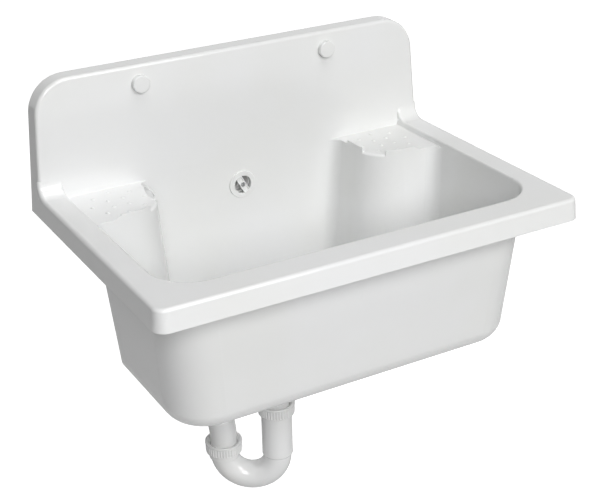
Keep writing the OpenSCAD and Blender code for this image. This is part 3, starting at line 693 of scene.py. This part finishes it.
def swept(name: str, outside: Sequence[Station], inside: Sequence[Station], side: Vector,
          steps: int = ROUND_STEPS) -> bpy.types.Object:
    """A bent tube with its wall, closed at both ends.

    Args:
        name: the new piece's name.
        outside: the stations of the outer skin.
        inside: the stations of the bore, in the same direction.
        side: the direction square to the plane that the tube bends in.
        steps: the number of faces round it.

    Returns:
        The new piece, at the origin.
    """
    bm = bmesh.new()
    closed_shell(bm, [ring(bm, s.centre, s.across, side, s.radii(steps))
                      for s in [*outside, *reversed(inside)]])
    return piece_of(bm, name)


def straight(start: Vector, way: Vector, across: Vector, radii: Sequence[tuple]) -> list:
    """Stations along a straight line.

    Args:
        start: where it starts.
        way: its unit direction.
        across: the direction across the bend.
        radii: (distance, radius) pairs.

    Returns:
        The stations.
    """
    return [Station(start + way * s, across, r) for s, r in radii]


@dataclass(frozen=True)
class Thread:
    """A screw thread: its root and crest radii, its pitch, and the share of it that fades."""

    root: float
    crest: float
    pitch: float = 3.0 * MM
    fade: float = 1 / 3

    def stations(self, start: Vector, way: Vector, across: Vector, length: float) -> list:
        """Stations along the thread, whose turns run out at both ends.

        Args:
            start: where it starts.
            way: its unit direction.
            across: the direction across the bend.
            length: how far it goes.

        Returns:
            The stations.
        """
        count = round(length / self.pitch * THREAD_STEPS)
        made = []
        for k in range(count + 1):
            full = min(1.0, k / count / self.fade, (count - k) / count / self.fade)
            place = start + way * (length * k / count)
            made.append(Station(place, across, self.root, (self.crest - self.root) * full,
                                k / THREAD_STEPS))
        return made


def bend(centre: Vector, out: Vector, on: Vector, reach: float, radius: float,
         angle: float) -> list:
    """Stations round a bend.

    Args:
        centre: the bend's centre.
        out: the unit direction from it to the bend's start.
        on: the unit direction of travel at the start.
        reach: the bend's radius on its centre line.
        radius: the tube's radius.
        angle: how far it turns, in radians.

    Returns:
        The stations.
    """
    made = []
    for k in range(BEND_STEPS + 1):
        turn = angle * k / BEND_STEPS
        across = out * math.cos(turn) + on * math.sin(turn)
        made.append(Station(centre + across * reach, across, radius))
    return made


# ---------------------------------------------------------------- the sink


@dataclass
class Finishes:
    """Every finish of the sink, made once."""

    shell: bpy.types.Material = field(default_factory=MouldedWhite("shell_white").make)
    fittings: bpy.types.Material = field(default_factory=MouldedWhite(
        "fitting_white", (0.9, 0.905, 0.905), (0.89, 0.89, 0.88), roughness=0.16).make)
    pipe: bpy.types.Material = field(default_factory=MouldedWhite(
        "pipe_white", (0.93, 0.93, 0.92), (0.91, 0.91, 0.9), roughness=0.3, coat=0.1).make)
    steel: bpy.types.Material = field(default_factory=BrushedMetal("turned_steel", Axis.Z).make)
    screw: bpy.types.Material = field(default_factory=BrushedMetal("screw_steel", Axis.Y).make)
    rubber: bpy.types.Material = field(default_factory=BlackRubber("seal_rubber").make)


@dataclass
class Assembly:
    """Pieces of the sink that go together: which CAD node each stands for, and its finish."""

    frame: dict
    finishes: Finishes

    def body_of(self, node: str) -> str:
        """The body that holds a node."""
        bodies = self.frame["record"]["behaviour"]["bodies"]
        return next(body for body, nodes in bodies.items() if node in nodes)

    def slot_of(self, node: str) -> str:
        """The record's material slot of a node."""
        parts = self.frame["record"]["subparts"]
        return next(part["material_slot"] for part in parts if part["node"] == node)

    def corners(self, node: str) -> tuple:
        """The lowest and the highest corner of a node's box."""
        low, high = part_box(node)
        return Vector(low), Vector(high)

    def centre(self, node: str) -> Vector:
        """The middle of a node's box."""
        low, high = self.corners(node)
        return (low + high) / 2

    def copy(self, node: str, finish: bpy.types.Material, surface: Surface) -> bpy.types.Object:
        """A node's own shape, joined, smoothly shaded and finished."""
        piece = joined_copy(self.frame["nodes"][node], f"{node}_piece")
        return self.dress(node, piece, finish, surface)

    def dress(self, node: str, piece: bpy.types.Object, finish: bpy.types.Material,
              surface: Surface) -> bpy.types.Object:
        """Puts a piece in a node's place.

        Args:
            node: the CAD node.
            piece: the piece that stands for it.
            finish: the piece's material.
            surface: how sharp an edge has to be to stay sharp.

        Returns:
            The piece.
        """
        piece.data.materials.clear()
        piece.data.materials.append(finish)
        shade(piece, surface)
        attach(piece, self.body_of(node))
        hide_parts(node)
        self.slot_of(node)
        LOG.info("%s: %d faces", piece.name, len(piece.data.polygons))
        return piece


@dataclass
class Basin(Assembly):
    """The moulded basin and what is fixed to its back wall."""

    cap_wall: float = 1.3 * MM
    cap_round: float = 1.3 * MM
    cap_lip_round: float = 0.2 * MM
    cap_inner_round: float = 0.6 * MM
    pipe_wall: float = 2.0 * MM
    pipe_bend: float = 28.0 * MM
    pipe_steps: int = 64

    def cap(self, node: str) -> None:
        """A screw's cover cap: a shallow cup with a rounded edge and a thin lip.

        Args:
            node: the CAD node.
        """
        low, high = self.corners(node)
        r, h = (high.x - low.x) / 2, high.y - low.y
        wall, lip = self.cap_wall, self.cap_lip_round
        section = [
            Corner(0, h), Corner(r, h, self.cap_round), Corner(r, 0, lip),
            Corner(r - wall, 0, lip), Corner(r - wall, h - wall, self.cap_inner_round),
            Corner(0, h - wall)]
        seat = Matrix.Translation(((low.x + high.x) / 2, high.y, (low.z + high.z) / 2))
        forward = Matrix.Rotation(QUARTER_TURN, 4, "X")
        piece = put(turned(f"{node}_piece", section), seat @ forward)
        self.dress(node, piece, self.finishes.shell, Surface.TURNED)

    def overflow_pipe(self) -> None:
        """The overflow pipe: down behind the bowl, round a bend and forward to the waste."""
        low, high = self.corners("overflow_pipe")
        r, reach = (high.x - low.x) / 2, self.pipe_bend
        top = Vector((0, high.y - r, high.z))
        drop = high.z - low.z - r - reach
        corner = top + DOWN * drop + FRONT * reach
        run = corner.y - low.y
        skins = [straight(top, DOWN, BACK, [(0, skin), (drop, skin)])
                 + bend(corner, BACK, DOWN, reach, skin, QUARTER_TURN)[1:]
                 + straight(corner + DOWN * reach, FRONT, DOWN, [(run, skin)])
                 for skin in (r, r - self.pipe_wall)]
        piece = swept("overflow_pipe_piece", *skins, RIGHT, self.pipe_steps)
        self.dress("overflow_pipe", piece, self.finishes.pipe, Surface.TURNED)

    def build(self) -> None:
        """Builds and dresses the basin, caps, screws and overflow."""
        f = self.finishes
        for node in ("basin", "cap_seats", "overflow_ring"):
            self.copy(node, f.shell, Surface.MOULDED)
        for node in ("wall_screws", "overflow_screw", "pipe_clips"):
            self.copy(node, f.screw, Surface.TURNED)
        self.cap("cap_left")
        self.cap("cap_right")
        self.overflow_pipe()
        self.copy("overflow_elbow", f.pipe, Surface.TURNED)
        self.copy("overflow_seal", f.rubber, Surface.TURNED)


@dataclass
class UnionNut(Assembly):
    """A union nut: a ring at its mouth, a body with ribs all round, and a smooth foot."""

    node: str
    mouth_down: bool = False
    lip_r: float = 20.3 * MM
    lip_h: float = 8.0 * MM
    bore_r: float = 24.2 * MM
    body_r: float = 26.2 * MM
    foot_r: float = 26.6 * MM
    foot_h: float = 1.6 * MM
    mouth_h: float = 3.0 * MM
    ring_h: float = 3.2 * MM
    ring_round: float = 1.2 * MM
    ring_slope: float = 0.4 * MM
    edge_round: float = 0.5 * MM
    foot_round: float = 0.4 * MM
    fine_round: float = 0.3 * MM
    ribs: int = 40
    rib_r: float = 0.95 * MM
    rib_reach: float = 27.2 * MM
    rib_in_foot: float = 0.4 * MM
    rib_in_ring: float = 0.6 * MM
    rib_points: int = 17
    rib_faces: int = 10
    rib_tip: float = 0.15
    rib_fullness: float = 12.0

    def ribbing(self) -> Growth:
        """The tree that sets upright ribs round a nut.

        Returns:
            The tree, whose foot and head heights are still to be set.
        """
        g = Growth("nut_ribs")
        count = g.size("Ribs", self.ribs)
        reach = g.size("Rib centre radius", self.rib_reach - self.rib_r)
        radius = g.size("Rib radius", self.rib_r)
        low = g.size("Foot height", 0.0)
        high = g.size("Head height", 0.0)
        line = g.node("GeometryNodeCurvePrimitiveLine", None, {
            "Start": g.vector(reach, 0.0, low), "End": g.vector(reach, 0.0, high)})
        fine = g.node("GeometryNodeResampleCurve", None, {
            "Curve": line, "Count": self.rib_points})
        along = g.node("GeometryNodeSplineParameter", out="Factor") * 2.0 - 1.0
        full = (1.0 - along ** self.rib_fullness).at_least(0.0) ** 0.5
        section = g.node("GeometryNodeCurvePrimitiveCircle", None, {
            "Resolution": self.rib_faces, "Radius": radius})
        rib = g.node("GeometryNodeCurveToMesh", None, {
            "Curve": fine, "Profile Curve": section,
            "Scale": full * (1.0 - self.rib_tip) + self.rib_tip, "Fill Caps": True})
        seats = g.node("GeometryNodePoints", None, {"Count": count})
        number = g.node("GeometryNodeInputIndex")
        turn = g.node("FunctionNodeAxisAngleToRotation", None, {
            "Axis": tuple(UP), "Angle": number * math.tau / count})
        ribs = g.node("GeometryNodeInstanceOnPoints", None, {
            "Points": seats, "Instance": rib, "Rotation": turn})
        g.close(g.join(g.base(), ribs), self.finishes.fittings)
        return g

    def build(self) -> None:
        """Builds and dresses the nut."""
        low, high = self.corners(self.node)
        r, h = (high.x - low.x) / 2, high.z - low.z
        edge, foot, fine = self.edge_round, self.foot_round, self.fine_round
        section = [
            Corner(self.lip_r, -self.mouth_h, edge), Corner(self.bore_r, 0, edge),
            Corner(r, 0, self.ring_round), Corner(r, -self.ring_h, edge),
            Corner(self.body_r, -self.ring_h - self.ring_slope, foot),
            Corner(self.body_r, self.foot_h - h, fine),
            Corner(self.foot_r, self.foot_h - h, foot), Corner(self.foot_r, -h, foot),
            Corner(self.bore_r, -h, fine), Corner(self.bore_r, -self.lip_h, fine),
            Corner(self.lip_r, -self.lip_h, fine)]
        piece = turned(f"{self.node}_piece", section)
        self.ribbing().grow(piece, {
            "Ribs": self.ribs, "Foot height": self.foot_h - h - self.rib_in_foot,
            "Head height": -self.ring_h + self.rib_in_ring})
        middle = self.centre(self.node)
        mouth = low.z if self.mouth_down else high.z
        way_up = Matrix.Diagonal((1, 1, -1 if self.mouth_down else 1, 1))
        put(piece, Matrix.Translation((middle.x, middle.y, mouth)) @ way_up)
        self.dress(self.node, piece, self.finishes.fittings, Surface.TURNED)


@dataclass
class Waste(Assembly):
    """The waste in the bowl's sump with its strainer, seals and union nut."""

    tube_wall: float = 1.8 * MM
    mouth_round: float = 0.5 * MM
    tip_round: float = 0.8 * MM
    neck_round: float = 0.6 * MM
    collar_h: float = 3.0 * MM
    collar_round: float = 0.4 * MM

    def dip_tube(self) -> None:
        """The straight tube from the waste down into the trap, with a collar at its top."""
        low, high = self.corners("dip_tube")
        collar, h = (high.x - low.x) / 2, high.z - low.z
        outlet_low, outlet_high = self.corners("outlet_bend")
        tube = (outlet_high.x - outlet_low.x) / 2
        bore, neck = tube - self.tube_wall, h - self.collar_h
        section = [
            Corner(bore, 0, self.mouth_round), Corner(tube, 0, self.tip_round),
            Corner(tube, neck, self.neck_round), Corner(collar, neck, self.collar_round),
            Corner(collar, h, self.collar_round), Corner(bore, h, self.collar_round)]
        middle = self.centre("dip_tube")
        seat = Matrix.Translation((middle.x, middle.y, low.z))
        piece = put(turned("dip_tube_piece", section), seat)
        self.dress("dip_tube", piece, self.finishes.fittings, Surface.TURNED)

    def build(self) -> None:
        """Builds and dresses the waste."""
        f = self.finishes
        for node in ("strainer", "strainer_screw"):
            self.copy(node, f.steel, Surface.TURNED)
        for node in ("strainer_seal", "waste_seal", "waste_washer"):
            self.copy(node, f.rubber, Surface.TURNED)
        for node in ("waste_body", "waste_ring"):
            self.copy(node, f.fittings, Surface.TURNED)
        self.dip_tube()
        UnionNut(self.frame, self.finishes, "waste_nut", mouth_down=True).build()


@dataclass
class Trap(Assembly):
    """The tube trap with its union nuts, its outlet and the rosette."""

    tube_r: float = 20.0 * MM
    tube_wall: float = 1.8 * MM
    leg_r: float = 22.6 * MM
    leg_foot_h: float = 1.5 * MM
    leg_cone_h: float = 2.0 * MM
    leg_chamfer: float = 0.4 * MM
    bend_r: float = 20.7 * MM
    sleeve_step: float = 0.5 * MM
    sleeve_from: float = 0.3 * MM
    sleeve_to: float = 0.6 * MM
    collar_r: float = 22.3 * MM
    collar_wall: float = 2.0 * MM
    collar_drop: float = 7.3 * MM
    collar_round: float = 0.2 * MM
    thread: Thread = Thread(23.4 * MM, 23.9 * MM)
    thread_h: float = 6.5 * MM
    thread_step: float = 0.1 * MM
    seat_r: float = 23.2 * MM
    seat_h: float = 6.0 * MM
    socket_r: float = 20.35 * MM
    socket_h: float = 6.2 * MM
    socket_foot_h: float = 4.0 * MM
    outlet_reach: float = 41.0 * MM
    outlet_edge: float = 0.3 * MM
    groove_w: float = 2.0 * MM
    groove_depth: float = 0.7 * MM
    spigot_lead: float = 3.0 * MM
    spigot_taper: float = 1.0 * MM

    def collar(self, foot: Vector, top: float) -> bpy.types.Object:
        """The thin collar under the outlet nut.

        Args:
            foot: the foot of the outlet leg.
            top: the height of the leg's thread over it.

        Returns:
            The collar, as a piece of its own.
        """
        inner, outer = self.collar_r - self.collar_wall, self.collar_r
        low, edge = -self.collar_drop, self.collar_round
        section = [Corner(inner, low, edge), Corner(outer, low, edge), Corner(outer, top, edge),
                   Corner(inner, top, edge)]
        return put(turned("collar", section), Matrix.Translation(foot))

    def bend_shell(self) -> None:
        """The trap's own tube: two legs, a half-round bend, and threads under the nuts."""
        low, high = self.corners("trap")
        inlet, outlet = self.centre("inlet_nut"), self.centre("outlet_nut")
        across = Vector((outlet.x - inlet.x, outlet.y - inlet.y, 0))
        reach = across.length / 2
        across.normalize()
        side = Vector((-across.y, across.x, 0))
        axis_z = low.z + reach + self.bend_r
        foot_in = Vector((inlet.x, inlet.y, axis_z))
        foot_out = Vector((outlet.x, outlet.y, axis_z))
        middle = (foot_in + foot_out) / 2
        top_in = high.z - axis_z
        nut_over_leg = self.corners("inlet_nut")[1].z - high.z
        top_out = self.corners("outlet_nut")[1].z - axis_z - nut_over_leg
        neck_in, neck_out = top_in - self.thread_h, top_out - self.thread_h
        foot, sleeve_r = self.leg_foot_h, self.bend_r + self.sleeve_step
        outside = (
            self.thread.stations(foot_in + UP * top_in, DOWN, -across, self.thread_h)
            + straight(foot_in, UP, -across, [
                (neck_in - self.thread_step, self.leg_r), (foot + self.leg_chamfer, self.leg_r),
                (foot, self.leg_r - self.leg_chamfer), (foot - self.leg_cone_h, self.bend_r)])
            + bend(middle, -across, DOWN, reach, self.bend_r, HALF_TURN)[1:]
            + straight(foot_out, UP, across, [
                (self.sleeve_from, self.bend_r), (self.sleeve_to, sleeve_r),
                (neck_out - self.thread_step, sleeve_r)])
            + self.thread.stations(foot_out + UP * neck_out, UP, across, self.thread_h))
        bore = self.tube_r - self.tube_wall
        inside = (
            straight(foot_in, UP, -across, [
                (top_in, self.seat_r), (top_in - self.seat_h, self.socket_r),
                (foot + self.socket_foot_h, self.socket_r), (foot, bore)])
            + bend(middle, -across, DOWN, reach, bore, HALF_TURN)
            + straight(foot_out, UP, across, [
                (top_out - self.socket_h, bore), (top_out - self.socket_h, self.socket_r),
                (top_out - self.seat_h, self.socket_r), (top_out, self.seat_r)]))
        piece = swept("trap_piece", outside, inside, side)
        add_to(piece, self.collar(foot_out, neck_out))
        self.dress("trap", piece, self.finishes.fittings, Surface.TURNED)

    def outlet(self) -> None:
        """The outlet: up out of the trap, round a tight bend and back through the wall plane."""
        low, high = self.corners("outlet_bend")
        r, bore, reach = self.tube_r, self.tube_r - self.tube_wall, self.outlet_reach
        foot = Vector(((low.x + high.x) / 2, low.y + r, low.z))
        rise = high.z - r - reach - low.z
        middle = foot + UP * rise + BACK * reach
        end = middle + UP * reach
        wall, tip = -end.y, high.y - end.y
        groove_from, groove_r = wall - self.groove_w, r - self.groove_depth
        edge = self.outlet_edge
        outside = (
            straight(foot, UP, FRONT, [(0, r - edge), (edge, r), (rise, r)])
            + bend(middle, FRONT, UP, reach, r, QUARTER_TURN)[1:]
            + straight(end, BACK, UP, [
                (groove_from, r), (groove_from, groove_r), (wall, groove_r), (wall, r),
                (tip - self.spigot_lead, r), (tip, r - self.spigot_taper)]))
        inside = (
            straight(foot, UP, FRONT, [(0, bore), (rise, bore)])
            + bend(middle, FRONT, UP, reach, bore, QUARTER_TURN)[1:]
            + straight(end, BACK, UP, [(tip, bore)]))
        piece = swept("outlet_bend_piece", outside, inside, RIGHT)
        self.dress("outlet_bend", piece, self.finishes.fittings, Surface.TURNED)

    def build(self) -> None:
        """Builds and dresses the trap."""
        f = self.finishes
        self.bend_shell()
        self.outlet()
        for node in ("inlet_nut", "outlet_nut"):
            UnionNut(self.frame, f, node).build()
        for node in ("inlet_ring", "outlet_ring", "wall_rosette"):
            self.copy(node, f.fittings, Surface.TURNED)
        for node in ("inlet_seal", "outlet_seal"):
            self.copy(node, f.rubber, Surface.TURNED)


# ---------------------------------------------------------------- studio


@dataclass(frozen=True)
class Lamp:
    """A square area lamp: where it hangs, its side in metres and its power in watts."""

    name: str
    place: tuple
    size: float
    power: float
    target: tuple = (0.0, -0.2, -0.05)

    def hang(self) -> None:
        """Adds the lamp to the scene, turned to its target."""
        data = bpy.data.lights.new(self.name, "AREA")
        data.shape = "SQUARE"
        data.size = self.size
        data.energy = self.power
        lamp = bpy.data.objects.new(self.name, data)
        lamp.location = self.place
        way = Vector(self.target) - Vector(self.place)
        lamp.rotation_euler = way.to_track_quat("-Z", "Y").to_euler()
        bpy.context.scene.collection.objects.link(lamp)


@dataclass
class Studio:
    """Camera, floor, lamps and surroundings, with angles in degrees."""

    eye: tuple = (-0.7682, -1.5759, 0.6668)
    azimuth: float = 29.06
    elevation: float = 25.36
    roll: float = -1.32
    lens: float = 79.82
    film_w: float = 36.0
    far: float = 50.0
    floor_z: float = -0.64
    floor_half: float = 6.0
    floor_grey: float = 0.58
    floor_glow: float = 0.97
    floor_mirrored: float = 0.4
    ambient: float = 0.02
    back_glow: float = 0.5
    back_from: float = 0.55
    back_full: float = 1.0
    lamps: tuple = (
        Lamp("front", (0.8, -3.72, 2.27), 1.9, 66.0),
        Lamp("left", (-1.44, -3.88, 2.11), 1.9, 90.0),
        Lamp("top", (0.32, -1.48, 4.19), 2.5, 62.0),
    )

    def picture_rays(self, tree: NodeTree, mirrored: float = 1.0) -> Val:
        """How white the background is for each ray.

        Args:
            tree: the material or world that asks.
            mirrored: how white it is for mirrored and bent rays.

        Returns:
            1 for the camera's rays, and mirrored for rays off gloss and through glass.
        """
        camera = tree.node("ShaderNodeLightPath", out="Is Camera Ray")
        glossy = tree.node("ShaderNodeLightPath", out="Is Glossy Ray")
        bent = tree.node("ShaderNodeLightPath", out="Is Transmission Ray")
        return camera.at_least(glossy.at_least(bent) * mirrored)

    def camera(self) -> None:
        """The camera, at the photograph's angle."""
        data = bpy.data.cameras.new("camera")
        data.lens = self.lens
        data.sensor_width = self.film_w
        data.sensor_fit = "HORIZONTAL"
        data.clip_end = self.far
        turn = Matrix.Rotation(math.radians(-self.azimuth), 4, "Z")
        tilt = Matrix.Rotation(math.radians(90.0 - self.elevation), 4, "X")
        roll = Matrix.Rotation(math.radians(self.roll), 4, "Z")
        camera = bpy.data.objects.new("camera", data)
        camera.matrix_world = Matrix.Translation(self.eye) @ turn @ tilt @ roll
        bpy.context.scene.collection.objects.link(camera)
        bpy.context.scene.camera = camera

    def floor(self) -> None:
        """A wide pale floor: white in the picture, and grey to the light that falls on it."""
        mesh = bpy.data.meshes.new("floor")
        half = self.floor_half
        flat = ((-half, -half), (half, -half), (half, half), (-half, half))
        mesh.from_pydata([(x, y, self.floor_z) for x, y in flat], [], [(0, 1, 2, 3)])
        floor = bpy.data.objects.new("floor", mesh)
        bpy.context.scene.collection.objects.link(floor)
        s = Shader("floor_white")
        seen = self.picture_rays(s, self.floor_mirrored)
        mesh.materials.append(s.finish(
            Base_Color=(self.floor_grey,) * 3, Roughness=1.0, Specular_IOR_Level=0.0,
            Emission_Color=WHITE, Emission_Strength=seen * self.floor_glow))

    def world(self) -> None:
        """Surroundings that are dim in front, paler behind the sink, and white in the picture."""
        world = bpy.data.worlds.new("world")
        bpy.context.scene.world = world
        world.use_nodes = True
        w = NodeTree(world.node_tree)
        way = w.node("ShaderNodeTexCoord", out="Generated")
        back = w.node("ShaderNodeSeparateXYZ", None, {0: way}, out="Y")
        light = back.step(self.back_from, self.back_full) * self.back_glow + self.ambient
        lit = w.node("ShaderNodeBackground", None, {"Color": WHITE, "Strength": light})
        seen = w.node("ShaderNodeBackground", None, {"Color": WHITE, "Strength": 1.0})
        mixed = w.node("ShaderNodeMixShader", None, {0: self.picture_rays(w), 1: lit, 2: seen})
        out = w.nodes.new("ShaderNodeOutputWorld")
        w.links.new(mixed.socket, out.inputs["Surface"])

    def build(self) -> None:
        """Sets up the whole studio."""
        bpy.context.scene.view_settings.view_transform = "Standard"
        self.camera()
        self.floor()
        for lamp in self.lamps:
            lamp.hang()
        self.world()


def main() -> None:
    """Builds the sink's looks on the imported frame."""
    logging.basicConfig(level=logging.INFO, format="%(name)s %(message)s")
    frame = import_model()
    Studio().build()
    finishes = Finishes()
    for assembly in (Basin, Waste, Trap):
        assembly(frame, finishes).build()
        LOG.info("%s built", assembly.__name__)


if __name__ == "__main__":
    main()
